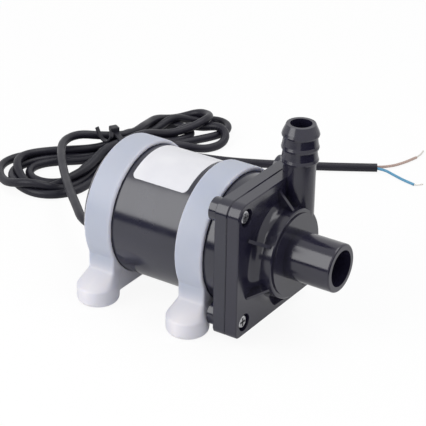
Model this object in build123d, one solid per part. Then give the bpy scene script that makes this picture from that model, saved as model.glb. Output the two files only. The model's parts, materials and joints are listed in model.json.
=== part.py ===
from build123d import *
import math
import os

# Small brushless water pump on two silicone mounting rings, with a tied lead.
# Millimetres. X runs along the pump axis to the inlet, Y sideways, Z up, floor at Z = 0.
# "Station" below means a distance along X from the front face of the cover flange.

# Overall stations
INLET_REACH = 29.4          # flange face to inlet mouth
COVER_FLANGE = 5.5          # thickness of the pump cover's square flange
MOTOR_FLANGE = 5.6          # thickness of the motor housing's square flange
BODY_LENGTH = 61.2          # round motor body behind its flange
CAP_THICKNESS = 5.0         # visible part of the rear cap
AXIS_HEIGHT = 32.5          # pump axis above the floor

# Motor body
BODY_R = 27.0
BODY_WALL = 2.0
CAP_SPIGOT = 3.0            # how far the rear cap reaches into the body
CAP_SPIGOT_WALL = 1.8
CAP_ROUND = 4.5
SLIP = 0.1                  # clearance of parts that slide together once
RUN = 0.05                  # running clearance of the bushes on the shaft

# Square flange
FLANGE_MARGIN = 1.8         # flange's half side outside the round body
SCREW_EDGE = 5.8            # screw places in from the flange's sides
TOP_CORNER_R = 5.8
BOTTOM_CORNER_R = 2.6
BOSS_R = 4.8
BOSS_REACH = 3.5            # bosses stand this far behind the motor flange
EDGE = 0.4                  # small chamfers on the moulded edges

# Screws
SCREW_R = 1.5
SCREW_REACH = 14.0          # tip of the screw behind the cover's face
HEAD_R = 2.8
HEAD_HEIGHT = 2.2
HEAD_SINK = 0.6             # head top below the cover's face
COUNTERBORE_R = 3.7
RECESS_WIDTH = 0.9
RECESS_DEPTH = 1.3

# Pump cover
DRUM_R = 18.5
DRUM_FRONT = 9.0
DRUM_FLARE = 4.0            # hollow curve where the drum meets the flange
RIM_STEP = 0.6              # rim of the drum sits this much lower than its face
RIM_WIDTH = 1.6
CHAMBER_R = 15.5
CHAMBER_FRONT = 6.5
INLET_R = 10.0
INLET_BORE_R = 7.5
INLET_BACK = 10.0           # where the straight inlet bore begins
INLET_THROAT_R = 7.0        # bore round the spider, behind it
MOUTH_ROUND = 0.8
RIB_COUNT = 5
RIB_PITCH = 60.0
RIB_THICKNESS = 1.4
RIB_REACH = 7.0             # rib's foot outside the drum
RIB_TOP = 7.0
RIB_ROOT = 1.0              # how far ribs run into the drum and the flange
RIB_FOOT = 0.5
RIB_LEDGE = 0.3

# Outlet with three barbs
OUTLET_R = 6.6
OUTLET_BORE_R = 4.4
OUTLET_THROAT_R = 5.0       # opening of the volute into the outlet
OUTLET_ROOT = 11.0          # where the straight outlet bore begins above the axis
OUTLET_STATION = 1.9
OUTLET_HEIGHT = 50.3        # mouth above the pump axis
BARB_COUNT = 3
BARB_PITCH = 5.42
BARB_CREST = 4.2            # crest below the top of its barb
BARB_R = 7.6
BARB_GROOVE_R = 6.8
LIP_R = 5.9

# Spider that holds the shaft in the inlet
SPIDER_HUB_R = 3.0
SPIDER_HUB_BACK = 4.5
SPIDER_FRONT = 9.5
SPIDER_LEGS = 3
SPIDER_LEG_THICKNESS = 1.5
SPIDER_LEG_ROOT = 0.5       # how far the legs run into the wall, and stand off the chamber

# Isolation can
CAN_FLANGE = 2.0
CAN_FLANGE_R = 20.0
CAN_R = 10.8
CAN_WALL = 1.0
CAN_DEPTH = 46.5            # closed end behind the cover's face
CAN_END_WALL = 1.3
CAN_BOSS_R = 3.2
CAN_BOSS_FRONT = 40.0

# Seal ring
SEAL_CORD_R = 0.9
SEAL_R = 18.6
SEAL_SIDE_ROOM = 0.2

# Rotor
SHAFT_R = 1.5
SHAFT_SEAT = 3.0            # depth of the shaft's seats
BUSH_WALL = 1.1
BUSH_LENGTH = 6.0
IMPELLER_R = 13.0
IMPELLER_BACK = 4.8         # back of the disc behind the cover's face
IMPELLER_DISC = 1.4
IMPELLER_SHROUD = 1.0
IMPELLER_FRONT = 4.0
IMPELLER_EYE_R = 6.6
VANE_COUNT = 6
VANE_THICKNESS = 1.2
VANE_SWEEP = 50.0
HUB_R = 4.3
MAGNET_R = 9.2
MAGNET_LENGTH = 28.0
MAGNET_GAP = 4.4            # magnet behind the impeller disc
WASHER_R = 3.0
WASHER_THICKNESS = 0.6
END_PLAY = 0.2

# Stator
STACK_LENGTH = 18.0
STACK_FRONT = 16.0
STACK_YOKE = 3.6
STATOR_PLAY = 0.3
TOOTH_COUNT = 6
TOOTH_WIDTH = 5.0
TOOTH_GAP = 0.3             # tooth tips to the can
SHOE_THICKNESS = 1.4
SHOE_SLOT = 1.6
COIL_BUILD = 2.6
COIL_OVERHANG = 3.4
LINER_WALL = 0.6
INSULATOR_WIDTH = 2.6
INSULATOR_RING = 2.0
YOKE_ROOM = 0.2             # windings and liners to the yoke
SHOE_ROOM = 0.1
POST_R = 1.6
POST_COUNT = 3

# Driver board
BOARD_ROOM = 2.0            # board's rim to the body's bore
BOARD_THICKNESS = 1.6
BOARD_STATION = 48.5        # front face of the board
CAPACITOR_R = 4.0
CAPACITOR_HEIGHT = 9.0
CHIP_SIZE = (5.0, 4.4, 1.5)
TRANSISTOR_SIZE = (6.0, 5.0, 1.8)
SENSOR_SIZE = (4.0, 1.5)
CAPACITOR_PLACE = (9.0, 8.0)
CAPACITOR_ROUND = 0.6
CHIP_PLACE = (-8.0, 9.0)
TRANSISTOR_PITCH = 11.0
TRANSISTOR_DROP = -3.0
SENSOR_RISE = 7.0
LEAD_PITCH = 2.0
SENSOR_GAP = 0.3            # sensor to the closed end of the can

# Silicone mounting rings
RING_WALL = 1.9
RING_WIDTH = 12.6
RING_STATIONS = {"mount_ring_front": -23.4, "mount_ring_rear": -67.6}
RING_ROUND = 0.7
LEG_INSET = 1.0             # legs' outer faces inside the body's sides
LEG_CLEARANCE = 3.0         # web's lower edge above the floor
LEG_DEPTH = 7.0             # leg's thickness where it flows into the foot
FOOT_R = 8.8
FOOT_OUT = 0.9              # feet's middles outside the body's sides
FOOT_SIDE = 7.6             # top of the foot's straight side
FOOT_HEIGHT = 12.8          # where the leg meets the foot's slope
FOOT_ROUND = 2.6
FOOT_BLEND = 1.2

# Rating label, left blank
LABEL_THICKNESS = 0.15
LABEL_STATION = -45.6
LABEL_LENGTH = 26.2
LABEL_LOW_ANGLE = 52.0      # degrees up from the near side
LABEL_HIGH_ANGLE = 120.0
LABEL_CORNER = 2.0

# Strain relief and lead
CABLE_R = 2.0
WIRE_R = 0.65
STRAND_R = 0.4
RELIEF_RIM = 9.5            # cable exit above the body's lowest line
RELIEF_LENGTH = 13.0
RELIEF_R = 3.6
RELIEF_TIP_R = 2.7
RELIEF_COLLAR_R = 4.8
RELIEF_COLLAR = 1.8
RELIEF_NECK_R = 3.2
INNER_COLLAR = 1.6
TIE_THICKNESS = 0.8
TIE_WIDTH = 3.0
TIE_PLACE = (-116.5, 86.2)
TIE_HEADING = 60.0
TIE_SPAN = 24.0
TIE_HEAD = (4.6, 4.0, 2.6)
TIE_TAIL = (1.8, 0.9, 9.0)
HANK_LAYERS = 2

# Derived places
TOTAL_LENGTH = INLET_REACH + COVER_FLANGE + MOTOR_FLANGE + BODY_LENGTH + CAP_THICKNESS
FACE_X = TOTAL_LENGTH / 2 - INLET_REACH
JOINT_STATION = -COVER_FLANGE
FLANGE_BACK = JOINT_STATION - MOTOR_FLANGE
BODY_BACK = FLANGE_BACK - BODY_LENGTH
CAP_BACK = BODY_BACK - CAP_THICKNESS
BODY_BORE = BODY_R - BODY_WALL
FLANGE_HALF = BODY_R + FLANGE_MARGIN
SCREW_HALF = FLANGE_HALF - SCREW_EDGE
LEG_HALF = BODY_R - LEG_INSET
FOOT_Y = BODY_R + FOOT_OUT
BOARD_R = BODY_BORE - BOARD_ROOM
STATOR_BACK = FLANGE_BACK
STACK_BACK = -STACK_FRONT - STACK_LENGTH
HEAD_SEAT = -HEAD_SINK - HEAD_HEIGHT
OUTLET_Y = DRUM_R - OUTLET_R
OUTLET_X = FACE_X + OUTLET_STATION
BUSH_R = SHAFT_R + RUN
BUSH_OUTER_R = BUSH_R + BUSH_WALL
ROTOR_FRONT = SPIDER_HUB_BACK - WASHER_THICKNESS - END_PLAY
ROTOR_BACK = -CAN_BOSS_FRONT + WASHER_THICKNESS + END_PLAY
DISC_FRONT = -IMPELLER_BACK + IMPELLER_DISC
SHROUD_BACK = IMPELLER_FRONT - IMPELLER_SHROUD
MAGNET_FRONT = -IMPELLER_BACK - MAGNET_GAP
TOOTH_TIP = CAN_R + TOOTH_GAP
STACK_R = BODY_BORE - STATOR_PLAY
YOKE_INNER = STACK_R - STACK_YOKE
BOARD_BACK = -BOARD_STATION - BOARD_THICKNESS
RELIEF_DROP = RELIEF_RIM - BODY_R
RELIEF_HEIGHT = AXIS_HEIGHT + RELIEF_DROP
RELIEF_TIP = CAP_BACK - RELIEF_LENGTH
HANK_HEIGHT = HANK_LAYERS * 2 * CABLE_R

# The lead's route behind the pump: out of the strain relief, over the hank's near turns
LEAD_ROUTE = [
    (FACE_X + RELIEF_TIP, 0.0, RELIEF_HEIGHT),
    (-74.0, 1.5, RELIEF_HEIGHT),
    (-84.0, 11.0, 14.6),
    (-98.7, 24.5, 13.6),
    (-114.1, 40.2, 12.6),
    (-127.4, 55.2, 12.5),
    (-134.0, 66.0, 12.5),
    (-133.2, 76.6, 12.0),
    (-125.6, 83.6, 10.5),
]
# The free end, laid on the floor behind the pump
TAIL_ROUTE = [
    (-92.0, 106.5, 3.2),
    (-80.0, 106.5, 2.1),
    (-66.0, 112.0, CABLE_R),
    (-52.5, 119.0, CABLE_R),
    (-30.0, 131.5, CABLE_R),
    (-9.0, 145.2, CABLE_R),
]
# Outline of the tied hank on the floor, once around
HANK_OUTLINE = [
    (-150.0, 36.0), (-157.0, 49.0), (-154.0, 65.0), (-141.0, 78.0), (-125.0, 91.5),
    (-124.5, 110.0), (-122.0, 132.0), (-112.0, 148.0), (-98.0, 150.5), (-84.0, 138.0),
    (-80.5, 124.0), (-89.0, 104.0), (-108.0, 81.0), (-101.5, 66.0), (-101.5, 49.0),
    (-106.0, 31.0), (-118.0, 25.0), (-134.0, 27.0),
]
# The two stripped wires, from the jacket's end: insulation, then bare strand
WIRE_ROUTES = {
    "brown_wire": [
        (-9.4, 145.9, 2.0), (-7.0, 148.8, 1.6), (-4.4, 153.6, 1.1), (-2.2, 160.4, 0.8), (-0.4, 168.6, 0.7),
    ],
    "blue_wire": [
        (-8.6, 144.5, 2.0), (-4.6, 145.6, 1.6), (0.0, 144.6, 1.1), (6.0, 142.9, 0.8), (12.6, 141.6, 0.7),
    ],
}
STRAND_ROUTES = {
    "brown_wire": [(-0.4, 168.6, 0.7), (-0.3, 173.0, 0.6), (-1.2, 177.4, 0.5)],
    "blue_wire": [(12.6, 141.6, 0.7), (14.4, 143.0, 0.6), (15.6, 144.8, 0.5)],
}

os.makedirs("parts", exist_ok=True)


def write(name, shape):
    """Write one node of the pump to its own file."""
    shape.label = name
    export_step(shape, f"parts/{name}.step")


def across(station, y=0.0, z=0.0):
    """Plane square to the pump axis; local x is Y and local y is Z."""
    origin = (FACE_X + station, y, AXIS_HEIGHT + z)
    return Plane(origin=origin, x_dir=(0, 1, 0), z_dir=(1, 0, 0))


def rod(radius, back, front, y=0.0, z=0.0):
    """Cylinder along X between two stations."""
    return extrude(across(back, y, z) * Circle(radius), amount=front - back)


def sleeve(outer, inner, back, front, y=0.0, z=0.0):
    """Tube along X between two stations."""
    ring = Circle(outer) - Circle(inner)
    return extrude(across(back, y, z) * ring, amount=front - back)


def block(size, back, y=0.0, z=0.0):
    """Box whose size is given as Y, Z and X, with its rear face at a station."""
    return extrude(across(back, y, z) * Rectangle(size[0], size[1]), amount=size[2])


def profile_plane(station, z):
    """Upright plane through the pump axis; local x is the station, local y the height."""
    return Plane(origin=(FACE_X + station, 0, z), x_dir=(1, 0, 0), z_dir=(0, -1, 0))


def turned(outline, z=AXIS_HEIGHT):
    """Solid of revolution about a line along X; the outline is in station and radius."""
    face = profile_plane(0, z) * make_face(outline)
    return revolve(face, Axis((0, 0, z), (1, 0, 0)))


def around(shape, angle):
    """Turn a shape about the pump axis; 0 degrees points to +Y and 90 degrees up."""
    return shape.rotate(Axis((0, 0, AXIS_HEIGHT), (1, 0, 0)), angle)


def screw_places():
    """The four screw places, as Y and Z from the axis."""
    return [(y, z) for y in (-SCREW_HALF, SCREW_HALF) for z in (-SCREW_HALF, SCREW_HALF)]


def flange_plate(back, front):
    """Square flange with round upper corners and tighter lower ones."""
    outline = Rectangle(2 * FLANGE_HALF, 2 * FLANGE_HALF)
    corners = outline.vertices().sort_by(Axis.Y)
    outline = fillet(corners[2:], TOP_CORNER_R)
    outline = fillet(outline.vertices().sort_by(Axis.Y)[:2], BOTTOM_CORNER_R)
    plate = extrude(across(back) * outline, amount=front - back)
    rims = plate.faces().filter_by(Axis.X).edges()
    return chamfer(rims, EDGE)


def cover_outer():
    """Drum with its flare, stepped rim and inlet tube, all turned about the axis."""
    flare_r = DRUM_R + DRUM_FLARE
    rim_front = DRUM_FRONT - RIM_STEP
    face_r = DRUM_R - RIM_WIDTH
    outline = Curve() + [
        Polyline((JOINT_STATION, 0), (JOINT_STATION, flare_r), (0, flare_r)),
        RadiusArc((0, flare_r), (DRUM_FLARE, DRUM_R), -DRUM_FLARE),
        Polyline((DRUM_FLARE, DRUM_R), (rim_front - EDGE, DRUM_R), (rim_front, DRUM_R - EDGE)),
        Polyline((rim_front, DRUM_R - EDGE), (rim_front, face_r), (DRUM_FRONT, face_r)),
        Polyline((DRUM_FRONT, face_r), (DRUM_FRONT, 0), (JOINT_STATION, 0)),
    ]
    tube = rod(INLET_R, DRUM_FRONT - 1.0, INLET_REACH)
    mouth = tube.edges().sort_by(Axis.X)[-1]
    return turned(outline) + fillet(mouth, MOUTH_ROUND)


def outlet_outer():
    """Upright tube with its barbs, turned about its own axis."""
    top = AXIS_HEIGHT + OUTLET_HEIGHT
    profile = [(0, top), (LIP_R, top)]
    for i in range(BARB_COUNT):
        barb_top = top - i * BARB_PITCH
        crest = barb_top - BARB_CREST
        profile.append((BARB_R - 0.35, crest + 1.1))
        profile.append((BARB_R, crest))
        profile.append((BARB_R - 0.15, crest - 0.7))
        profile.append((BARB_GROOVE_R, barb_top - BARB_PITCH + 0.25))
        profile.append((BARB_GROOVE_R, barb_top - BARB_PITCH))
    profile.append((OUTLET_R, top - BARB_COUNT * BARB_PITCH))
    profile.append((OUTLET_R, AXIS_HEIGHT))
    profile.append((0, AXIS_HEIGHT))
    upright = Plane(origin=(OUTLET_X, OUTLET_Y, 0), x_dir=(1, 0, 0), z_dir=(0, -1, 0))
    face = upright * make_face(Polyline(*profile, close=True))
    return revolve(face, Axis((OUTLET_X, OUTLET_Y, 0), (0, 0, 1)))


def rib():
    """One gusset between the drum and the flange, standing up at 90 degrees."""
    foot = DRUM_R + RIB_REACH
    root = DRUM_R - RIB_ROOT
    crest = DRUM_R + RIB_LEDGE
    points = [(-RIB_ROOT, root), (RIB_TOP, root), (RIB_TOP, crest), (RIB_FOOT, foot), (-RIB_ROOT, foot)]
    face = profile_plane(0, AXIS_HEIGHT) * make_face(Polyline(*points, close=True))
    return extrude(face, amount=RIB_THICKNESS / 2, both=True)


def spider():
    """Hub and legs across the inlet bore, with a blind seat for the shaft."""
    hub = rod(SPIDER_HUB_R, SPIDER_HUB_BACK, SPIDER_FRONT)
    reach = INLET_BORE_R + SPIDER_LEG_ROOT
    leg_back = CHAMBER_FRONT + SPIDER_LEG_ROOT
    depth = SPIDER_FRONT - leg_back
    for i in range(SPIDER_LEGS):
        leg = block((SPIDER_LEG_THICKNESS, reach, depth), leg_back, z=reach / 2)
        hub += around(leg, i * 360 / SPIDER_LEGS)
    return hub - rod(SHAFT_R, SPIDER_HUB_BACK, SPIDER_HUB_BACK + SHAFT_SEAT)


def make_cover():
    """Pump cover: volute, inlet, barbed outlet, gussets, screw holes and seal groove."""
    cover = flange_plate(JOINT_STATION, 0) + cover_outer() + outlet_outer()
    for i in range(RIB_COUNT):
        cover += around(rib(), i * RIB_PITCH)
    cover -= rod(CHAMBER_R, JOINT_STATION, CHAMBER_FRONT)
    cover -= rod(INLET_THROAT_R, CHAMBER_FRONT, INLET_BACK)
    cover -= rod(INLET_BORE_R, INLET_BACK, INLET_REACH)
    upright = Plane.XY.offset(AXIS_HEIGHT) * Pos(OUTLET_X, OUTLET_Y)
    cover -= extrude(upright * Circle(OUTLET_BORE_R), amount=OUTLET_HEIGHT)
    cover -= extrude(upright * Circle(OUTLET_THROAT_R), amount=OUTLET_ROOT)
    groove_outer = SEAL_R + SEAL_CORD_R + SEAL_SIDE_ROOM
    groove_inner = SEAL_R - SEAL_CORD_R - SEAL_SIDE_ROOM
    cover -= sleeve(groove_outer, groove_inner, JOINT_STATION, JOINT_STATION + 2 * SEAL_CORD_R)
    for y, z in screw_places():
        cover -= rod(SCREW_R + 0.2, JOINT_STATION, 0, y, z)
        cover -= rod(COUNTERBORE_R, HEAD_SEAT, 0, y, z)
    return cover + spider()


def make_housing():
    """Motor housing: round body, square flange, screw bosses and front wall."""
    housing = rod(BODY_R, BODY_BACK, FLANGE_BACK) + flange_plate(FLANGE_BACK, JOINT_STATION)
    for y, z in screw_places():
        housing += rod(BOSS_R, FLANGE_BACK - BOSS_REACH, FLANGE_BACK + 1, y, z)
    housing -= rod(BODY_BORE, BODY_BACK, STATOR_BACK)
    housing -= rod(CAN_R + SLIP, STATOR_BACK, JOINT_STATION)
    housing -= rod(CAN_FLANGE_R + SLIP, JOINT_STATION - CAN_FLANGE, JOINT_STATION)
    for y, z in screw_places():
        housing -= rod(SCREW_R + RUN, -SCREW_REACH - 0.4, JOINT_STATION, y, z)
    return housing


def make_can():
    """Isolation can: flange, thin well and the rear seat of the shaft."""
    back = -CAN_DEPTH
    can = rod(CAN_FLANGE_R, JOINT_STATION - CAN_FLANGE, JOINT_STATION)
    can += rod(CAN_R, back, JOINT_STATION)
    can -= rod(CAN_R - CAN_WALL, back + CAN_END_WALL, JOINT_STATION)
    can += rod(CAN_BOSS_R, back + CAN_END_WALL, -CAN_BOSS_FRONT)
    return can - rod(SHAFT_R, -CAN_BOSS_FRONT - SHAFT_SEAT, -CAN_BOSS_FRONT)


def make_rear_cap():
    """Rear cap with its spigot and the hole for the strain relief."""
    cap = rod(BODY_R, CAP_BACK, BODY_BACK)
    cap = fillet(cap.edges().sort_by(Axis.X)[0], CAP_ROUND)
    spigot_r = BODY_BORE - SLIP
    cap += sleeve(spigot_r, spigot_r - CAP_SPIGOT_WALL, BODY_BACK - 1, BODY_BACK + CAP_SPIGOT)
    return cap - rod(RELIEF_NECK_R, CAP_BACK, BODY_BACK, z=RELIEF_DROP)


def make_stator_core():
    """Laminated core: a yoke ring, teeth and their shoes."""
    yoke = Circle(STACK_R) - Circle(YOKE_INNER)
    shoes = Circle(TOOTH_TIP + SHOE_THICKNESS) - Circle(TOOTH_TIP)
    tooth_length = YOKE_INNER - TOOTH_TIP
    tooth = Pos(0, TOOTH_TIP + tooth_length / 2 + 0.5) * Rectangle(TOOTH_WIDTH, tooth_length)
    slot = Pos(0, TOOTH_TIP) * Rectangle(SHOE_SLOT, 4 * SHOE_THICKNESS)
    step = 360 / TOOTH_COUNT
    for i in range(TOOTH_COUNT):
        shoes -= Rot(0, 0, (i + 0.5) * step) * slot
    for i in range(TOOTH_COUNT):
        shoes += Rot(0, 0, i * step) * tooth
    return extrude(across(STACK_BACK) * (yoke + shoes), amount=STACK_LENGTH)


def tooth_frames(inside, wall, overhang):
    """One rectangular frame around each tooth, as separate solids."""
    frames = []
    width = inside + 2 * wall
    inner_r = TOOTH_TIP + SHOE_THICKNESS + SHOE_ROOM
    outer_r = math.sqrt((YOKE_INNER - YOKE_ROOM) ** 2 - (width / 2) ** 2)
    height = outer_r - inner_r
    middle = (outer_r + inner_r) / 2
    length = STACK_LENGTH + 2 * overhang
    hole_length = length - 2 * wall
    for i in range(TOOTH_COUNT):
        frame = block((width, height, length), STACK_BACK - overhang, z=middle)
        frame -= block((inside, height, hole_length), STACK_BACK - overhang + wall, z=middle)
        frames.append(around(frame, i * 360 / TOOTH_COUNT))
    return frames


def make_liners():
    """Insulating liners between the teeth and the windings."""
    return Compound(children=tooth_frames(TOOTH_WIDTH + SLIP, LINER_WALL, LINER_WALL + SLIP))


def make_coils():
    """Six windings, one round each tooth."""
    inside = TOOTH_WIDTH + SLIP + 2 * LINER_WALL
    return Compound(children=tooth_frames(inside, COIL_BUILD, COIL_OVERHANG))


def make_front_insulator():
    """Spacer ring that seats the core against the housing's front wall."""
    return sleeve(STACK_R, STACK_R - INSULATOR_WIDTH, -STACK_FRONT, STATOR_BACK)


def make_rear_insulator():
    """Ring on the back of the core, with posts between the teeth that carry the board."""
    ring_back = STACK_BACK - INSULATOR_RING
    ring = sleeve(STACK_R, STACK_R - INSULATOR_WIDTH, ring_back, STACK_BACK)
    half_tooth = 180 / TOOTH_COUNT
    for i in range(POST_COUNT):
        post = rod(POST_R, -BOARD_STATION, ring_back + INSULATOR_RING / 2, z=BOARD_R - POST_R)
        ring += around(post, half_tooth + i * 360 / POST_COUNT)
    return ring


def make_impeller():
    """Impeller with curved vanes, front shroud and the sleeve that carries the magnet."""
    wheel = rod(IMPELLER_R, -IMPELLER_BACK, DISC_FRONT)
    wheel += sleeve(IMPELLER_R, IMPELLER_EYE_R, SHROUD_BACK, IMPELLER_FRONT)
    wheel += rod(HUB_R, ROTOR_BACK, ROTOR_FRONT)
    for i in range(VANE_COUNT):
        wheel += around(vane(), i * 360 / VANE_COUNT)
    return wheel - rod(BUSH_OUTER_R, ROTOR_BACK, ROTOR_FRONT)


def vane():
    """One backward-swept vane between the disc and the shroud."""
    steps = 5
    inner = HUB_R - 0.5
    outer = IMPELLER_R - 0.2
    left, right = [], []
    for k in range(steps + 1):
        r = inner + (outer - inner) * k / steps
        angle = math.radians(VANE_SWEEP * k / steps)
        half = VANE_THICKNESS / 2 / r
        left.append((r * math.cos(angle + half), r * math.sin(angle + half)))
        right.append((r * math.cos(angle - half), r * math.sin(angle - half)))
    ends = [Line(left[-1], right[-1]), Line(right[0], left[0])]
    outline = Curve() + [Spline(*left), Spline(*right)] + ends
    face = across(DISC_FRONT - 0.2) * make_face(outline)
    return extrude(face, amount=SHROUD_BACK - DISC_FRONT + 0.4)


def make_screws():
    """Four cross-recessed cover screws."""
    screws = []
    for y, z in screw_places():
        screw = rod(SCREW_R, -SCREW_REACH, HEAD_SEAT, y, z)
        head = rod(HEAD_R, HEAD_SEAT, -HEAD_SINK, y, z)
        head = fillet(head.edges().sort_by(Axis.X)[-1], 0.8)
        arm = 1.3 * HEAD_R
        recess_back = -HEAD_SINK - RECESS_DEPTH
        for size in ((RECESS_WIDTH, arm, RECESS_DEPTH), (arm, RECESS_WIDTH, RECESS_DEPTH)):
            head -= block(size, recess_back, y, z)
        screws.append(screw + head)
    return Compound(children=screws)


def make_foot(side):
    """Rounded foot at one end of a mounting ring's legs, sloping up to the leg."""
    middle = Pos(0, side * FOOT_Y, 0)
    drum = extrude(middle * Circle(FOOT_R), amount=FOOT_SIDE)
    drum = fillet(drum.edges().sort_by(Axis.Z)[0], FOOT_ROUND)
    leg_y = side * (LEG_HALF - LEG_DEPTH / 2)
    top = Pos(0, leg_y, FOOT_HEIGHT) * RectangleRounded(RING_WIDTH, LEG_DEPTH, FOOT_BLEND)
    slope = loft([Pos(0, 0, FOOT_SIDE) * middle * Circle(FOOT_R), top])
    return drum + slope


def make_mount_ring():
    """Silicone ring round the body, with its web, legs and two feet, about X = 0."""
    leg_bottom = LEG_CLEARANCE - AXIS_HEIGHT
    saddle = Pos(0, leg_bottom / 2) * Rectangle(2 * LEG_HALF, -leg_bottom)
    band = Circle(BODY_R + RING_WALL) + saddle
    back = -FACE_X - RING_WIDTH / 2
    ring = extrude(across(back) * band, amount=RING_WIDTH)
    ring = fillet(ring.faces().filter_by(Axis.X).edges(), RING_ROUND)
    for side in (-1, 1):
        ring += make_foot(side)
    return ring - rod(BODY_R, back - RING_WIDTH, back + 2 * RING_WIDTH)


def make_label():
    """Thin curved label on the body between the rings."""
    back = LABEL_STATION - LABEL_LENGTH / 2
    front = LABEL_STATION + LABEL_LENGTH / 2
    shell = sleeve(BODY_R + LABEL_THICKNESS, BODY_R, back, front)
    middle = (LABEL_LOW_ANGLE + LABEL_HIGH_ANGLE) / 2
    chord = 2 * BODY_R * math.sin(math.radians(LABEL_HIGH_ANGLE - LABEL_LOW_ANGLE) / 2)
    window = RectangleRounded(LABEL_LENGTH, chord, LABEL_CORNER)
    plane = Plane(origin=(FACE_X + LABEL_STATION, 0, AXIS_HEIGHT), x_dir=(1, 0, 0), z_dir=(0, 0, 1))
    cutter = extrude(plane * window, amount=2 * BODY_R)
    return shell & cutter.rotate(Axis((0, 0, AXIS_HEIGHT), (1, 0, 0)), 90 - middle)


def make_strain_relief():
    """Rubber strain relief: collars on both faces of the cap and a tapered tail."""
    points = [
        (BODY_BACK + INNER_COLLAR, 0),
        (BODY_BACK + INNER_COLLAR, RELIEF_COLLAR_R),
        (BODY_BACK, RELIEF_COLLAR_R),
        (BODY_BACK, RELIEF_NECK_R),
        (CAP_BACK, RELIEF_NECK_R),
        (CAP_BACK, RELIEF_COLLAR_R),
        (CAP_BACK - RELIEF_COLLAR, RELIEF_COLLAR_R - EDGE),
        (CAP_BACK - RELIEF_COLLAR, RELIEF_R),
        (RELIEF_TIP, RELIEF_TIP_R),
        (RELIEF_TIP, 0),
    ]
    return turned(Polyline(*points, close=True), RELIEF_HEIGHT)


def corner_radii(route):
    """Radius of each corner: 0.45 of the shorter run over the tangent of half the turn."""
    radii = []
    points = [Vector(*p) for p in route]
    for a, b, c in zip(points, points[1:], points[2:]):
        turn = math.radians((b - a).get_angle(c - b))
        shorter = min((b - a).length, (c - b).length)
        radii.append(0.45 * shorter / math.tan(turn / 2))
    return radii


def round_tube(route, radius, name):
    """Round tube along straight runs joined by tangent arcs."""
    radii = corner_radii(route)
    path = FilletPolyline(*route, radius=radii)
    start = Plane(origin=path @ 0, z_dir=path % 0)
    tube = sweep(start * Circle(radius), path=path)
    expected = math.pi * radius**2 * path.length
    rounded = [round(r, 1) for r in radii]
    print(f"{name}: length {path.length:.1f}, volume ratio {tube.volume / expected:.4f}, radii {rounded}")
    return tube


def make_hank():
    """Outer shape of the tied hank, resting on the strap that passes under it."""
    floor = Plane.XY.offset(TIE_THICKNESS)
    outline = Spline(*HANK_OUTLINE, periodic=True)
    return extrude(floor * make_face(outline), amount=HANK_HEIGHT)


def make_tie(hank):
    """Cable tie: a band round the hank's neck, its head and its free tail."""
    x, y = TIE_PLACE
    height = HANK_HEIGHT + 2 * TIE_THICKNESS
    place = Pos(x, y, 0) * Rot(0, 0, TIE_HEADING)
    band = place * (Pos(0, 0, height / 2) * Box(TIE_WIDTH, TIE_SPAN, height))
    head = place * (Pos(0, 1.5, height + TIE_HEAD[2] / 2 - 0.2) * Box(*TIE_HEAD))
    tail_tilt = Rot(0, -20, 0)
    tail = place * (Pos(0, -1.6, height - 0.4) * tail_tilt * Pos(0, 0, TIE_TAIL[2] / 2) * Box(*TIE_TAIL))
    return (band - hank) + head + tail


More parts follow.
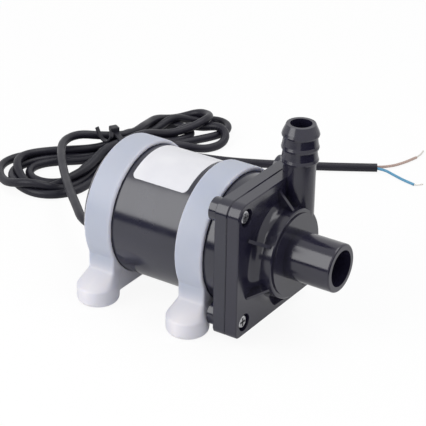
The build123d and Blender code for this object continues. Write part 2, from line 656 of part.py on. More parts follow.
def build():
    """Build and write every node."""
    write("pump_cover", make_cover())
    write("motor_housing", make_housing())
    write("isolation_can", make_can())
    write("rear_cap", make_rear_cap())
    seal_plane = across(JOINT_STATION + SEAL_CORD_R)
    write("seal_ring", seal_plane * Torus(SEAL_R, SEAL_CORD_R))
    write("cover_screws", make_screws())

    write("rotor_shaft", rod(SHAFT_R, -CAN_BOSS_FRONT - SHAFT_SEAT, SPIDER_HUB_BACK + SHAFT_SEAT))
    write("impeller", make_impeller())
    write("rotor_magnet", sleeve(MAGNET_R, HUB_R, MAGNET_FRONT - MAGNET_LENGTH, MAGNET_FRONT))
    write("front_bush", sleeve(BUSH_OUTER_R, BUSH_R, ROTOR_FRONT - BUSH_LENGTH, ROTOR_FRONT))
    write("rear_bush", sleeve(BUSH_OUTER_R, BUSH_R, ROTOR_BACK, ROTOR_BACK + BUSH_LENGTH))
    washer_back = SPIDER_HUB_BACK - WASHER_THICKNESS
    write("front_washer", sleeve(WASHER_R, BUSH_R, washer_back, SPIDER_HUB_BACK))
    washer_front = -CAN_BOSS_FRONT + WASHER_THICKNESS
    write("rear_washer", sleeve(WASHER_R, BUSH_R, -CAN_BOSS_FRONT, washer_front))

    write("stator_core", make_stator_core())
    write("slot_liners", make_liners())
    write("stator_coils", make_coils())
    write("front_insulator", make_front_insulator())
    write("rear_insulator", make_rear_insulator())
    write("driver_board", rod(BOARD_R, BOARD_BACK, -BOARD_STATION))
    capacitor = rod(CAPACITOR_R, BOARD_BACK - CAPACITOR_HEIGHT, BOARD_BACK, *CAPACITOR_PLACE)
    write("capacitor", fillet(capacitor.edges().sort_by(Axis.X)[0], CAPACITOR_ROUND))
    write("controller_chip", block(CHIP_SIZE, BOARD_BACK - CHIP_SIZE[2], *CHIP_PLACE))
    back = BOARD_BACK - TRANSISTOR_SIZE[2]
    rows = (-TRANSISTOR_PITCH, 0.0, TRANSISTOR_PITCH)
    transistors = [block(TRANSISTOR_SIZE, back, y, TRANSISTOR_DROP) for y in rows]
    write("power_transistors", Compound(children=transistors))
    sensor_depth = BOARD_STATION - CAN_DEPTH - SENSOR_GAP
    sensor = block((*SENSOR_SIZE, sensor_depth), -BOARD_STATION, z=SENSOR_RISE)
    write("hall_sensor", sensor)

    ring = make_mount_ring()
    for name, station in RING_STATIONS.items():
        write(name, Pos(FACE_X + station, 0, 0) * ring)
    write("rating_label", make_label())

    write("strain_relief", make_strain_relief())
    sides = (-LEAD_PITCH / 2, LEAD_PITCH / 2)
    leads = [rod(WIRE_R, BODY_BACK + INNER_COLLAR, BOARD_BACK, y, RELIEF_DROP) for y in sides]
    write("board_leads", Compound(children=leads))
    write("cable_lead", round_tube(LEAD_ROUTE, CABLE_R, "cable_lead"))
    write("cable_tail", round_tube(TAIL_ROUTE, CABLE_R, "cable_tail"))
    hank = make_hank()
    write("cable_hank", hank)
    write("cable_tie", make_tie(hank))
    for name, route in WIRE_ROUTES.items():
        write(name, round_tube(route, WIRE_R, name))
    strands = [round_tube(route, STRAND_R, name + " strand") for name, route in STRAND_ROUTES.items()]
    write("bare_strands", Compound(children=strands))


build()
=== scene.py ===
import json
import math

import bpy
import numpy as np
from mathutils import Matrix, Vector


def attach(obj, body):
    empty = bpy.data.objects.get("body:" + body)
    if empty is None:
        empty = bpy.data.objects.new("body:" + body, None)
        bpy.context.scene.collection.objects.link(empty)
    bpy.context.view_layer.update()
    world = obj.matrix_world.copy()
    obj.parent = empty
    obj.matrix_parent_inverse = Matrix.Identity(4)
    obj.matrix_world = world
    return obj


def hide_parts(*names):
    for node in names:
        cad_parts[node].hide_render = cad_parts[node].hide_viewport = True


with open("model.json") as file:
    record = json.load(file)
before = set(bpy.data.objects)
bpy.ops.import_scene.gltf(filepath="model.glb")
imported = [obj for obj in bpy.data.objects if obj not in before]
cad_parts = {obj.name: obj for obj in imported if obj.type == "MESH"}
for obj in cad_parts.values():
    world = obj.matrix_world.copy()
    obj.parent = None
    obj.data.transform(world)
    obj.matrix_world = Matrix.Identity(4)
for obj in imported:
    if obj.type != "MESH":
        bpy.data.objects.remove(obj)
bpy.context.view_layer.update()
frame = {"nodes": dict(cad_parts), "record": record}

MM = 0.001

# The lead's jacket in millimetres, as in the part's source
CABLE_D = 4.0

# Camera, solved from the photograph: degrees, millimetres
CAMERA_AZIMUTH = 33.03
CAMERA_ELEVATION = 27.0
CAMERA_ROLL = 1.07
CAMERA_PLACE = (348.9, -546.6, 371.3)
CAMERA_LENS = 153.67

# The lead's route, as in the part's source
LEAD_ROUTE = [
    (-66.35, 0.0, 15.0),
    (-74.0, 1.5, 15.0),
    (-84.0, 11.0, 14.6),
    (-98.7, 24.5, 13.6),
    (-114.1, 40.2, 12.6),
    (-127.4, 55.2, 12.5),
    (-134.0, 66.0, 12.5),
    (-133.2, 76.6, 12.0),
    (-125.6, 83.6, 10.5),
]
TAIL_ROUTE = [
    (-92.0, 106.5, 3.2),
    (-80.0, 106.5, 2.1),
    (-66.0, 112.0, 2.0),
    (-52.5, 119.0, 2.0),
    (-30.0, 131.5, 2.0),
    (-9.0, 145.2, 2.0),
]

# The tied hank: its neck, and the way its turns run through it
NECK = Vector((-116.5, 86.2))
NECK_HEADING = math.radians(60.0)
NECK_HALF = 7.0
# Slots in the neck for each pass in order: (distance to the far side, height)
NECK_SLOTS = [
    (2.0, 9.9), (-2.0, 9.9), (4.0, 6.4), (-4.0, 6.4), (0.0, 6.4),
    (-6.0, 2.9), (2.0, 2.9), (-2.0, 2.9), (6.0, 2.9),
]
# Each loop: how far out it ends, its middle and half width across the hank, how far its far side
# runs ahead of its near side, and its heights on the way out, at its end and on the way back
RIGHT_LOOPS = [
    (54.0, 15.0, 10.0, 2.0, (12.0, 9.5), (6.5, 6.8), (9.8, 12.0)),
    (61.0, 11.0, 10.5, 0.0, (9.0, 6.4), (2.6, 2.8), (6.4, 9.0)),
    (54.0, -1.5, 10.0, 0.0, (8.0, 6.2), (3.0, 2.2), (3.4, 6.4)),
    (41.0, 12.5, 10.0, 0.0, (5.4, 2.2), (2.2, 2.2), (4.0, 6.2)),
]
LEFT_LOOPS = [
    (51.0, -5.0, 16.5, 0.0, (10.0, 6.4), (7.2, 6.4), (6.4, 6.6)),
    (45.0, -5.0, 12.0, 0.0, (6.4, 6.0), (3.0, 3.0), (5.6, 6.4)),
    (53.0, -8.5, 18.5, 0.0, (2.4, 2.2), (2.2, 2.2), (2.2, 2.6)),
    (57.2, -3.0, 20.5, 1.0, (2.4, 2.2), (6.0, 3.0), (2.2, 2.6)),
]
STRAND_GAP = 4.3            # between the middles of strands that touch
STRAND_STEP = 4.0
HELD_START = 5              # samples where the stiff arch of the lead holds itself up
HELD_END = 6                # samples at each end that may touch the still parts of the lead
NEAR_SAMPLES = 4            # samples this close along the strand don't push each other
SETTLE_STEPS = 500
SINK = 0.02                 # per step, towards the floor
RETURN = 0.01               # share per step, back towards the place in plan
STIFFNESS = 0.3
STRAND_PUSH = 0.45
STILL_PUSH = 0.5
STRETCH_PULL = 0.25
# Silicone rings: mesh size and passes that flow their feet into the legs
RING_VOXEL = 0.45
RING_SMOOTHING = 8
# Cable tie round the neck
TIE_ALONG = -0.5
TIE_LIFT_REACH = 7.0
TIE_WIDTH = 2.8
TIE_TAIL_WIDTH = 2.38
TIE_THICKNESS = 0.8
TIE_STEPS = 64
TIE_SLACK = 0.1
TIE_HEAD = (4.2, 4.0, 2.8)
TIE_TAIL = [
    (-3.2, -3.0, 0.2), (-4.8, -5.6, -1.2), (-6.9, -6.2, -2.4), (-8.4, -4.6, -1.8), (-9.4, -2.8, 0.6),
    (-10.0, -1.4, 3.4),
]
# The last pass dives under the right hand loops to the free end
TAIL_DIVE = [(15.0, 3.0, 2.2), (22.0, -5.0, 2.2)]


# Studio, in metres: the world's light on the object, the floor, and how white it is to each ray
WORLD_LIGHT = 0.42
FLOOR_REACH = 3.0
FLOOR_DROP = -0.0002
FLOOR_WHITE = (("Is Camera Ray", 0.92), ("Is Glossy Ray", 0.35))
# Grain of moulded surfaces: scale per metre, and depth in metres
MOULD_GRAIN = 2600.0
MOULD_DEPTH = 0.00001


def new_material(name):
    """A node material with its tree and its one principled shader."""
    material = bpy.data.materials.new(name)
    material.use_nodes = True
    return material, material.node_tree, material.node_tree.nodes["Principled BSDF"]


def add(tree, kind, **values):
    """Add a node and set its plain properties and inputs."""
    node = tree.nodes.new(kind)
    for key, value in values.items():
        if hasattr(node, key):
            setattr(node, key, value)
        else:
            node.inputs[key.replace("_", " ")].default_value = value
    return node


def link(tree, source, target):
    """Join an output to an input."""
    tree.links.new(source, target)


def object_coords(tree):
    """Object coordinates, which are the row frame in metres."""
    return add(tree, "ShaderNodeTexCoord").outputs["Object"]


def noise(tree, coords, scale, detail=4.0, rough=0.5):
    """Noise texture at a scale per metre."""
    node = add(tree, "ShaderNodeTexNoise", Scale=scale, Detail=detail, Roughness=rough)
    link(tree, coords, node.inputs["Vector"])
    return node.outputs["Fac"]


def ramp(tree, source, low, high, low_at=0.3, high_at=0.7):
    """Map a value through two colour stops."""
    node = add(tree, "ShaderNodeValToRGB")
    stops = node.color_ramp.elements
    stops[0].position, stops[0].color = low_at, (*low, 1.0)
    stops[1].position, stops[1].color = high_at, (*high, 1.0)
    link(tree, source, node.inputs["Fac"])
    return node.outputs["Color"]


def spread(tree, source, low, high):
    """Map a 0 to 1 value to a range."""
    node = add(tree, "ShaderNodeMapRange")
    node.inputs["From Min"].default_value = 0.3
    node.inputs["From Max"].default_value = 0.7
    node.inputs["To Min"].default_value = low
    node.inputs["To Max"].default_value = high
    link(tree, source, node.inputs["Value"])
    return node.outputs["Result"]


def bump(tree, shader, source, strength, distance):
    """Bump the shader's normal by a height."""
    node = add(tree, "ShaderNodeBump", Strength=strength, Distance=distance)
    link(tree, source, node.inputs["Height"])
    link(tree, node.outputs["Normal"], shader.inputs["Normal"])
    return node


def moulded(name, dark, light, rough_low, rough_high, ior=1.5, specular=0.5):
    """Moulded plastic or rubber: mottled colour and gloss over a fine grain."""
    material, tree, shader = new_material(name)
    coords = object_coords(tree)
    cloud = noise(tree, coords, 60.0, 5.0)
    link(tree, ramp(tree, cloud, dark, light), shader.inputs["Base Color"])
    wear = noise(tree, coords, 140.0, 6.0)
    link(tree, spread(tree, wear, rough_low, rough_high), shader.inputs["Roughness"])
    shader.inputs["IOR"].default_value = ior
    shader.inputs["Specular IOR Level"].default_value = specular
    bump(tree, shader, noise(tree, coords, MOULD_GRAIN, 3.0), 0.25, MOULD_DEPTH)
    return material


# Moulded finishes by slot: name, darker and lighter colour, gloss range, then IOR and specular level
MOULDED = {
    "black_gloss": ("cover_plastic", (0.010, 0.009, 0.021), (0.015, 0.014, 0.029), 0.13, 0.21, 1.56),
    "black_body": ("body_plastic", (0.011, 0.011, 0.023), (0.016, 0.016, 0.031), 0.13, 0.20, 1.58),
    "black_rubber": ("relief_rubber", (0.022, 0.021, 0.024), (0.034, 0.032, 0.036), 0.42, 0.55),
    "cable_jacket": ("jacket_rubber", (0.007, 0.007, 0.013), (0.013, 0.012, 0.020), 0.34, 0.46, 1.5,
                     0.28),
    "tie_nylon": ("tie_plastic", (0.009, 0.009, 0.014), (0.015, 0.014, 0.021), 0.35, 0.5, 1.5, 0.3),
    "wire_brown": ("wire_brown", (0.40, 0.29, 0.25), (0.46, 0.34, 0.30), 0.35, 0.5),
    "wire_blue": ("wire_blue", (0.09, 0.28, 0.45), (0.11, 0.32, 0.50), 0.35, 0.5),
    "impeller_plastic": ("impeller_plastic", (0.10, 0.13, 0.17), (0.13, 0.16, 0.2), 0.3, 0.4),
    "magnet": ("magnet_ferrite", (0.06, 0.06, 0.065), (0.1, 0.1, 0.105), 0.45, 0.6),
    "bush_graphite": ("bush_graphite", (0.05, 0.05, 0.055), (0.08, 0.08, 0.085), 0.4, 0.5),
    "washer_ceramic": ("washer_ceramic", (0.76, 0.75, 0.71), (0.84, 0.83, 0.8), 0.25, 0.35),
    "can_plastic": ("can_plastic", (0.04, 0.04, 0.045), (0.06, 0.06, 0.065), 0.35, 0.45),
    "seal_rubber": ("seal_rubber", (0.03, 0.03, 0.03), (0.045, 0.045, 0.045), 0.45, 0.6),
    "insulator_plastic": ("insulator_plastic", (0.72, 0.70, 0.62), (0.8, 0.78, 0.7), 0.4, 0.5),
    "board": ("board_mask", (0.03, 0.18, 0.08), (0.05, 0.24, 0.11), 0.3, 0.4),
    "component_black": ("component_black", (0.03, 0.03, 0.033), (0.045, 0.045, 0.05), 0.4, 0.55),
}
# Metal finishes by slot: name, colour, gloss range
METALS = {
    "screw_steel": ("screw_steel", (0.62, 0.62, 0.64), 0.18, 0.34),
    "tinned_copper": ("tinned_strand", (0.72, 0.70, 0.66), 0.25, 0.45),
    "shaft_steel": ("shaft_steel", (0.7, 0.7, 0.72), 0.15, 0.25),
    "lamination_steel": ("lamination_steel", (0.4, 0.4, 0.42), 0.35, 0.5),
    "copper_winding": ("copper_winding", (0.62, 0.27, 0.13), 0.3, 0.45),
    "capacitor_can": ("capacitor_can", (0.5, 0.52, 0.56), 0.3, 0.4),
}


def make_materials():
    """All the finishes, by the record's slot names."""
    made = {slot: moulded(*finish) for slot, finish in MOULDED.items()}
    made.update({slot: metal(*finish) for slot, finish in METALS.items()})
    made["silicone"] = silicone()
    made["label"] = label_film()
    return made


def metal(name, colour, rough_low, rough_high):
    """Plated or drawn metal with fine wear."""
    material, tree, shader = new_material(name)
    coords = object_coords(tree)
    darker = tuple(0.8 * c for c in colour)
    link(tree, ramp(tree, noise(tree, coords, 300.0), darker, colour), shader.inputs["Base Color"])
    shader.inputs["Metallic"].default_value = 1.0
    wear = noise(tree, coords, 800.0)
    link(tree, spread(tree, wear, rough_low, rough_high), shader.inputs["Roughness"])
    bump(tree, shader, noise(tree, coords, 2500.0), 0.2, 0.00002)
    return material


def silicone():
    """Milky translucent silicone: cool round the body and paler in the feet, with painted light and
    shade on the end faces.
    """
    material, tree, shader = new_material("ring_silicone")
    coords = object_coords(tree)
    split = add(tree, "ShaderNodeSeparateXYZ")
    link(tree, coords, split.inputs["Vector"])
    height = add(tree, "ShaderNodeMapRange", interpolation_type="SMOOTHSTEP")
    height.inputs["From Min"].default_value = 8.0 * MM
    height.inputs["From Max"].default_value = 19.0 * MM
    link(tree, split.outputs["Z"], height.inputs["Value"])
    tint = ramp(tree, height.outputs["Result"], (0.81, 0.79, 0.825), (0.435, 0.465, 0.55), 0.0, 1.0)
    # Painted light and shade: the more a face points along the pump's axis, the more it takes one fixed
    # tone. That tone is lighter than the ring round the body and darker than the feet.
    facing = add(tree, "ShaderNodeSeparateXYZ")
    link(tree, add(tree, "ShaderNodeNewGeometry").outputs["Normal"], facing.inputs["Vector"])
    sideways = add(tree, "ShaderNodeMath", operation="ABSOLUTE")
    link(tree, facing.outputs["X"], sideways.inputs[0])
    painted_end_face_light = add(tree, "ShaderNodeMix", data_type="RGBA")
    link(tree, sideways.outputs["Value"], painted_end_face_light.inputs["Factor"])
    link(tree, tint, painted_end_face_light.inputs["A"])
    painted_end_face_light.inputs["B"].default_value = (0.60, 0.60, 0.67, 1.0)
    mottle = add(tree, "ShaderNodeMix", data_type="RGBA", blend_type="MULTIPLY")
    mottle.inputs["Factor"].default_value = 1.0
    link(tree, painted_end_face_light.outputs["Result"], mottle.inputs["A"])
    milk = ramp(tree, noise(tree, coords, 45.0, 6.0), (0.92, 0.93, 0.95), (1.0, 0.99, 0.98))
    link(tree, milk, mottle.inputs["B"])
    link(tree, mottle.outputs["Result"], shader.inputs["Base Color"])
    shader.inputs["Subsurface Weight"].default_value = 0.35
    shader.inputs["Subsurface Radius"].default_value = (0.6, 0.7, 1.0)
    shader.inputs["Subsurface Scale"].default_value = 0.002
    shader.inputs["Specular IOR Level"].default_value = 0.4
    link(tree, spread(tree, noise(tree, coords, 90.0), 0.34, 0.48), shader.inputs["Roughness"])
    bump(tree, shader, noise(tree, coords, 1200.0), 0.2, 0.00002)
    return material


def label_film():
    """Blank white label film."""
    material, tree, shader = new_material("label_film")
    coords = object_coords(tree)
    colour = ramp(tree, noise(tree, coords, 80.0), (0.66, 0.66, 0.70), (0.72, 0.72, 0.75))
    link(tree, colour, shader.inputs["Base Color"])
    link(tree, spread(tree, noise(tree, coords, 200.0), 0.3, 0.4), shader.inputs["Roughness"])
    bump(tree, shader, noise(tree, coords, 500.0), 0.15, 0.00003)
    return material


def soften_rings():
    """Flow the feet into the legs as moulded silicone does."""
    for name in ("mount_ring_front", "mount_ring_rear"):
        ring = frame["nodes"][name]
        even = ring.modifiers.new("even", "REMESH")
        even.mode = "VOXEL"
        even.voxel_size = RING_VOXEL * MM
        even.use_smooth_shade = True
        flow = ring.modifiers.new("flow", "SMOOTH")
        flow.factor = 0.5
        flow.iterations = RING_SMOOTHING


def dress_nodes(materials):
    """Give every CAD node the finish of its slot."""
    for row in frame["record"]["subparts"]:
        node = frame["nodes"][row["node"]]
        node.data.materials.clear()
        node.data.materials.append(materials[row["material_slot"]])


def camera():
    """The camera at the photograph's place and angle."""
    azimuth = math.radians(CAMERA_AZIMUTH)
    elevation = math.radians(CAMERA_ELEVATION)
    roll = math.radians(CAMERA_ROLL)
    flat = math.cos(elevation)
    look = Vector((-math.sin(azimuth) * flat, math.cos(azimuth) * flat, -math.sin(elevation)))
    right = Vector((math.cos(azimuth), math.sin(azimuth), 0.0))
    up = right.cross(look)
    turned_right = math.cos(roll) * right + math.sin(roll) * up
    turned_up = math.cos(roll) * up - math.sin(roll) * right
    data = bpy.data.cameras.new("camera")
    data.lens = CAMERA_LENS
    data.sensor_width = 36.0
    data.clip_end = 20.0
    item = bpy.data.objects.new("camera", data)
    bpy.context.collection.objects.link(item)
    axes = Matrix((turned_right, turned_up, -look)).transposed().to_4x4()
    item.matrix_world = Matrix.Translation(Vector(CAMERA_PLACE) * MM) @ axes
    bpy.context.scene.camera = item


def area_light(name, place, aim, size, power, mirrored=True):
    """Soft box at a place, turned towards a point, seen in glossy parts or not."""
    data = bpy.data.lights.new(name, "AREA")
    data.shape = "RECTANGLE"
    data.size, data.size_y = size
    data.energy = power
    item = bpy.data.objects.new(name, data)
    bpy.context.collection.objects.link(item)
    item.location = place
    item.visible_glossy = mirrored
    item.rotation_euler = (Vector(aim) - Vector(place)).to_track_quat("-Z", "Y").to_euler()


def stage_sheet(name, corners):
    """A flat sheet of the stage, which is not part of the object."""
    mesh = bpy.data.meshes.new(name)
    mesh.from_pydata(corners, [], [(0, 1, 2, 3)])
    sheet = bpy.data.objects.new(name, mesh)
    bpy.context.collection.objects.link(sheet)
    return sheet


def dark_card(name, away, distance, width, height):
    """Low dark card beside the object, mirrored by its glossy parts and nothing else."""
    away = Vector((*away, 0.0)).normalized()
    aside = Vector((-away.y, away.x, 0.0))
    verts = []
    for across, top in ((-width / 2, 0.0), (width / 2, 0.0), (width / 2, height), (-width / 2, height)):
        verts.append(away * distance + aside * across + Vector((0, 0, top)))
    card = stage_sheet(name, verts)
    material, _, shader = new_material(name)
    shader.inputs["Base Color"].default_value = (0.02, 0.024, 0.035, 1.0)
    shader.inputs["Roughness"].default_value = 0.9
    card.data.materials.append(material)
    card.visible_camera = False
    card.visible_shadow = False
    card.visible_diffuse = False


def surroundings():
    """White to the camera and in reflections, and a plainer level of light on the object."""
    world = bpy.data.worlds.new("studio_world")
    world.use_nodes = True
    bpy.context.scene.world = world
    tree = world.node_tree
    paths = add(tree, "ShaderNodeLightPath")
    seen = add(tree, "ShaderNodeMath", operation="MAXIMUM")
    seen_bright = add(tree, "ShaderNodeMath", operation="MAXIMUM")
    link(tree, paths.outputs["Is Camera Ray"], seen.inputs[0])
    link(tree, paths.outputs["Is Transmission Ray"], seen.inputs[1])
    link(tree, seen.outputs["Value"], seen_bright.inputs[0])
    link(tree, paths.outputs["Is Glossy Ray"], seen_bright.inputs[1])
    strength = add(tree, "ShaderNodeMapRange")
    strength.inputs["To Min"].default_value = WORLD_LIGHT
    strength.inputs["To Max"].default_value = 1.0
    link(tree, seen_bright.outputs["Value"], strength.inputs["Value"])
    background = tree.nodes["Background"]
    link(tree, strength.outputs["Result"], background.inputs["Strength"])
    background.inputs["Color"].default_value = (1.0, 1.0, 1.0, 1.0)


def paper_floor():
    """Pale floor, mostly white to the camera, which keeps the object's shadow."""
    reach = FLOOR_REACH
    corners = [(-reach, -reach, 0), (reach, -reach, 0), (reach, reach, 0), (-reach, reach, 0)]
    floor = stage_sheet("floor", corners)
    floor.location.z = FLOOR_DROP
    material, tree, shader = new_material("floor_paper")
    shader.inputs["Base Color"].default_value = (0.9, 0.9, 0.9, 1.0)
    shader.inputs["Roughness"].default_value = 0.7
    glow = add(tree, "ShaderNodeEmission")
    glow.inputs["Strength"].default_value = 1.0
    mix = add(tree, "ShaderNodeMixShader")
    paths = add(tree, "ShaderNodeLightPath")
    share = add(tree, "ShaderNodeMath", operation="MAXIMUM")
    for i, (ray, amount) in enumerate(FLOOR_WHITE):
        part = add(tree, "ShaderNodeMath", operation="MULTIPLY")
        link(tree, paths.outputs[ray], part.inputs[0])
        part.inputs[1].default_value = amount
        link(tree, part.outputs["Value"], share.inputs[i])
    link(tree, share.outputs["Value"], mix.inputs["Fac"])
    link(tree, shader.outputs["BSDF"], mix.inputs[1])
    link(tree, glow.outputs["Emission"], mix.inputs[2])
    link(tree, mix.outputs["Shader"], tree.nodes["Material Output"].inputs["Surface"])
    floor.data.materials.append(material)


def studio():
    """Plain pale floor, white surroundings, soft boxes and dark cards."""
    bpy.context.scene.view_settings.view_transform = "Standard"
    surroundings()
    area_light("key_box", (-0.338, -0.57, 0.48), (0, 0, 0.03), (0.55, 0.8), 4.2)
    area_light("top_box", (0.15, 0.35, 1.0), (0, 0.03, 0.03), (0.9, 0.6), 4.0)
    area_light("side_box", (0.9, -0.15, 0.45), (0, 0, 0.04), (0.5, 0.5), 2.0, mirrored=False)
    dark_card("near_card", (-0.51, -0.86), 0.45, 0.8, 0.093)
    dark_card("end_card", (0.99, -0.12), 0.16, 0.3, 0.07)
    paper_floor()


def hank_point(along, across, height):
    """A point in the hank's own frame: along its heading, across to the far side, and height."""
    ahead = Vector((math.cos(NECK_HEADING), math.sin(NECK_HEADING)))
    aside = Vector((-ahead.y, ahead.x))
    spot = NECK + ahead * along + aside * across
    return Vector((spot.x, spot.y, height))


def loop_points(loop, side, leaving, coming):
    """One loop: out from its slot in the neck, round its end and back to the next slot."""
    end, middle, half, skew, out, tip, back = loop
    # Share of the way out, share of the half width, height
    steps = [
        (0.32, -0.62, out[0]), (0.60, -1.0, out[1]), (0.85, -1.0, tip[0]), (1.0, -0.66, tip[0]),
        (1.04, 0.0, tip[0]), (1.0, 0.66, tip[1]), (0.85, 1.0, tip[1]), (0.60, 1.0, back[0]),
        (0.32, 0.62, back[1]),
    ]
    points = []
    for share, turn, height in steps:
        across = middle - side * turn * half
        slot_across = leaving[0] if turn < 0 else coming[0]
        narrowing = max(0.0, 1.0 - share / 0.6) * 0.8
        across += (slot_across - across) * narrowing
        along = side * (share * end - side * turn * skew * share)
        points.append(hank_point(along, across, height))
    return points


def coil_points():
    """Control points of the hank's turns, from the end of the lead to the start of the tail."""
    points = []
    for i in range(len(RIGHT_LOOPS)):
        going, coming, after = NECK_SLOTS[2 * i:2 * i + 3]
        if i > 0:
            points.append(hank_point(-NECK_HALF, *going))
        points.append(hank_point(NECK_HALF, *going))
        points += loop_points(RIGHT_LOOPS[i], 1.0, going, coming)
        points += [hank_point(NECK_HALF, *coming), hank_point(-NECK_HALF, *coming)]
        points += loop_points(LEFT_LOOPS[i], -1.0, coming, after)
    last = NECK_SLOTS[-1]
    points += [hank_point(-NECK_HALF, *last), hank_point(NECK_HALF, *last)]
    return points + [hank_point(*spot) for spot in TAIL_DIVE]


def smooth_samples(points, step):
    """Evenly spaced places along the smooth curve that the control points shape."""
    fine = []
    for before, corner, after in zip(points, points[1:], points[2:]):
        start, end = (before + corner) / 2, (corner + after) / 2
        for k in range(12):
            t = k / 12
            fine.append((1 - t) ** 2 * start + 2 * t * (1 - t) * corner + t * t * end)
    fine.append(end)
    fine = np.array([tuple(p) for p in fine])
    run = np.concatenate([[0.0], np.cumsum(np.linalg.norm(np.diff(fine, axis=0), axis=1))])
    places = np.linspace(0.0, run[-1], int(run[-1] / step) + 1)
    return np.stack([np.interp(places, run, fine[:, axis]) for axis in range(3)], axis=1)


def along_hank(places):
    """Distance along the hank and across it of places in the row frame."""
    offset = places[:, :2] - np.array(NECK)
    ahead = np.array([math.cos(NECK_HEADING), math.sin(NECK_HEADING)])
    return offset @ ahead, offset @ np.array([-ahead[1], ahead[0]])


def settle(strand, still):
    """Let the turns come to rest on the floor and on each other, clear of the parts that lie still."""
    start = strand.copy()
    beside = (along_hank(strand)[0] - TIE_ALONG) / TIE_LIFT_REACH
    floor = CABLE_D / 2 + (TIE_THICKNESS + TIE_SLACK) * np.exp(-beside ** 2)
    count = len(strand)
    run = np.linalg.norm(np.diff(strand, axis=0), axis=1)[:, None]
    near = np.abs(np.subtract.outer(np.arange(count), np.arange(count))) < NEAR_SAMPLES
    for _ in range(SETTLE_STEPS):
        strand[HELD_START:-1, 2] -= SINK
        strand[:, :2] += RETURN * (start[:, :2] - strand[:, :2])
        bend = np.zeros_like(strand)
        bend[2:-2] = (4 * (strand[1:-3] + strand[3:-1]) - strand[:-4] - strand[4:]) / 6 - strand[2:-2]
        strand += STIFFNESS * bend
        gap = strand[:, None] - strand[None]
        away = np.linalg.norm(gap, axis=2)
        push = np.clip(STRAND_GAP - away, 0.0, None)
        push[near] = 0.0
        strand += STRAND_PUSH * (gap / (away[..., None] + 1e-6) * push[..., None]).sum(axis=1)
        gap = strand[:, None] - still[None]
        away = np.linalg.norm(gap, axis=2)
        push = np.clip(STRAND_GAP - away, 0.0, None)
        push[:HELD_END, :] = 0.0
        push[-HELD_END:, :] = 0.0
        strand += STILL_PUSH * (gap / (away[..., None] + 1e-6) * push[..., None]).sum(axis=1)
        along = np.diff(strand, axis=0)
        length = np.linalg.norm(along, axis=1)[:, None]
        pull = STRETCH_PULL * along * (length - run) / length
        strand[:-1] += pull
        strand[1:] -= pull
        strand[:, 2] = np.maximum(strand[:, 2], floor)
        strand[:HELD_START], strand[-1] = start[:HELD_START], start[-1]
    return strand


def cable_route():
    """Control points of the whole lead, from the strain relief to the jacket's end, and its coil."""
    lead_in = [Vector(p) for p in LEAD_ROUTE]
    tail = [Vector(p) for p in TAIL_ROUTE[1:]]
    coil = smooth_samples(lead_in[-2:] + coil_points() + tail[:2], STRAND_STEP)
    still = np.concatenate([smooth_samples(lead_in, 2.0)[:-6], smooth_samples(tail, 2.0)[6:]])
    coil = settle(coil, still)
    return lead_in[:-1] + [Vector(p) for p in coil[1:-1]] + tail[1:], coil


def nurbs_tube(name, points, diameter, material, resolution=8):
    """A round tube along a smooth curve; points are in millimetres."""
    data = bpy.data.curves.new(name, "CURVE")
    data.dimensions = "3D"
    data.bevel_depth = diameter / 2 * MM
    data.bevel_resolution = 6
    data.use_fill_caps = True
    spline = data.splines.new("NURBS")
    spline.points.add(len(points) - 1)
    for target, point in zip(spline.points, points):
        target.co = (*(Vector(point) * MM), 1.0)
    spline.order_u = 3
    spline.use_endpoint_u = True
    spline.resolution_u = resolution
    data.materials.append(material)
    item = bpy.data.objects.new(name, data)
    bpy.context.collection.objects.link(item)
    return item


def lead(materials):
    """The whole lead with its hank and tie."""
    route, coil = cable_route()
    cable = nurbs_tube("lead_cable", route, CABLE_D, materials["cable_jacket"], resolution=4)
    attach(cable, "pump")
    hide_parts("cable_lead", "cable_hank", "cable_tail")
    tie = cable_tie(coil, materials["tie_nylon"])


def mesh_piece(name, verts, faces, material, soften=0.0, smooth=True):
    """A mesh in millimetres that rides on the pump."""
    mesh = bpy.data.meshes.new(name)
    mesh.from_pydata([tuple(Vector(v) * MM) for v in verts], [], faces)
    mesh.materials.append(material)
    item = bpy.data.objects.new(name, mesh)
    bpy.context.collection.objects.link(item)
    if smooth:
        mesh.shade_smooth()
    if soften:
        rounding = item.modifiers.new("soften", "BEVEL")
        rounding.width = soften * MM
        rounding.segments = 3
        rounding.limit_method = "ANGLE"
        rounding.harden_normals = True
    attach(item, "pump")
    return item


def ribbon(name, path, width_ways, width, thickness, material, closed=False):
    """A flat strap along a path; its width lies the way given at each point."""
    verts, faces = [], []
    count = len(path)
    for i, (point, way) in enumerate(zip(path, width_ways)):
        before = path[i - 1] if i or closed else path[i]
        after = path[(i + 1) % count] if i < count - 1 or closed else path[i]
        tangent = (after - before).normalized()
        side = (way - tangent * way.dot(tangent)).normalized() * width / 2
        out = tangent.cross(side).normalized() * thickness / 2
        verts += [point - side - out, point + side - out, point + side + out, point - side + out]
    for i in range(count if closed else count - 1):
        here, there = 4 * i, 4 * ((i + 1) % count)
        for k in range(4):
            faces.append((here + k, here + (k + 1) % 4, there + (k + 1) % 4, there + k))
    if not closed:
        faces += [(3, 2, 1, 0), tuple(4 * (count - 1) + k for k in range(4))]
    return mesh_piece(name, verts, faces, material, soften=0.2)


def curved(points, per_span=6):
    """A smooth path through points in the hank's frame, as row places."""
    spots = [Vector(p) for p in points]
    padded = [2 * spots[0] - spots[1]] + spots + [2 * spots[-1] - spots[-2]]
    path = []
    for a, b, c, d in zip(padded, padded[1:], padded[2:], padded[3:]):
        for k in range(per_span):
            t = k / per_span
            path.append(0.5 * (2 * b + (c - a) * t + (2 * a - 5 * b + 4 * c - d) * t ** 2
                               + (3 * b - a - 3 * c + d) * t ** 3))
    return path + [spots[-1]]


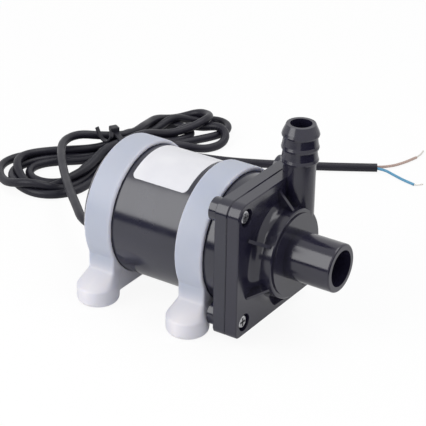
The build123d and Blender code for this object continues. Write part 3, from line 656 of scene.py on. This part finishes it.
def tie_loop(coil):
    """The band's middle line: pulled tight round the strands that cross its plane."""
    along, across = along_hank(coil)
    crossings = []
    for i in range(len(coil) - 1):
        if (along[i] - TIE_ALONG) * (along[i + 1] - TIE_ALONG) <= 0:
            share = (TIE_ALONG - along[i]) / (along[i + 1] - along[i])
            crossings.append((across[i] + share * (across[i + 1] - across[i]),
                              coil[i][2] + share * (coil[i + 1][2] - coil[i][2])))
    loop = []
    reach = CABLE_D / 2 + TIE_THICKNESS / 2
    for k in range(TIE_STEPS):
        angle = math.tau * k / TIE_STEPS
        way = (math.cos(angle), math.sin(angle))
        far = max(crossings, key=lambda c: c[0] * way[0] + c[1] * way[1])
        loop.append(hank_point(TIE_ALONG, far[0] + reach * way[0], far[1] + reach * way[1]))
    return loop


def tie_head(middle, ahead, aside, material):
    """The tie's square head, softened at its edges."""
    length, width, height = TIE_HEAD
    verts = []
    for z in (-0.5, 0.5):
        for a, b in ((-0.5, -0.5), (0.5, -0.5), (0.5, 0.5), (-0.5, 0.5)):
            verts.append(middle + ahead * a * length + aside * b * width + Vector((0, 0, z * height)))
    faces = [(3, 2, 1, 0), (4, 5, 6, 7), (0, 1, 5, 4), (1, 2, 6, 5), (2, 3, 7, 6), (3, 0, 4, 7)]
    return mesh_piece("tie_head", verts, faces, material, soften=0.6, smooth=False)


def cable_tie(coil, material):
    """Cable tie round the neck of the hank, with its head and its free tail."""
    ahead = Vector((math.cos(NECK_HEADING), math.sin(NECK_HEADING), 0.0))
    aside = Vector((-ahead.y, ahead.x, 0.0))
    loop = tie_loop(coil)
    ways = [ahead] * len(loop)
    band = ribbon("tie_band", loop, ways, TIE_WIDTH, TIE_THICKNESS, material, closed=True)

    top = max(loop, key=lambda p: p.z)
    top_across = (top.xy - NECK).dot(aside.xy)
    middle = hank_point(TIE_ALONG, top_across, top.z + TIE_HEAD[2] / 2 - TIE_THICKNESS / 2)
    head = tie_head(middle, ahead, aside, material)

    path = [hank_point(p[0], top_across + p[1], middle.z + p[2]) for p in curved(TIE_TAIL)]
    ways = [(ahead * 0.8 + aside * 0.6).normalized()] * len(path)
    tail = ribbon("tie_tail", path, ways, TIE_TAIL_WIDTH, TIE_THICKNESS, material)
    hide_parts("cable_tie")
    return [band, head, tail]


materials = make_materials()
camera()
studio()
dress_nodes(materials)
soften_rings()
lead(materials)
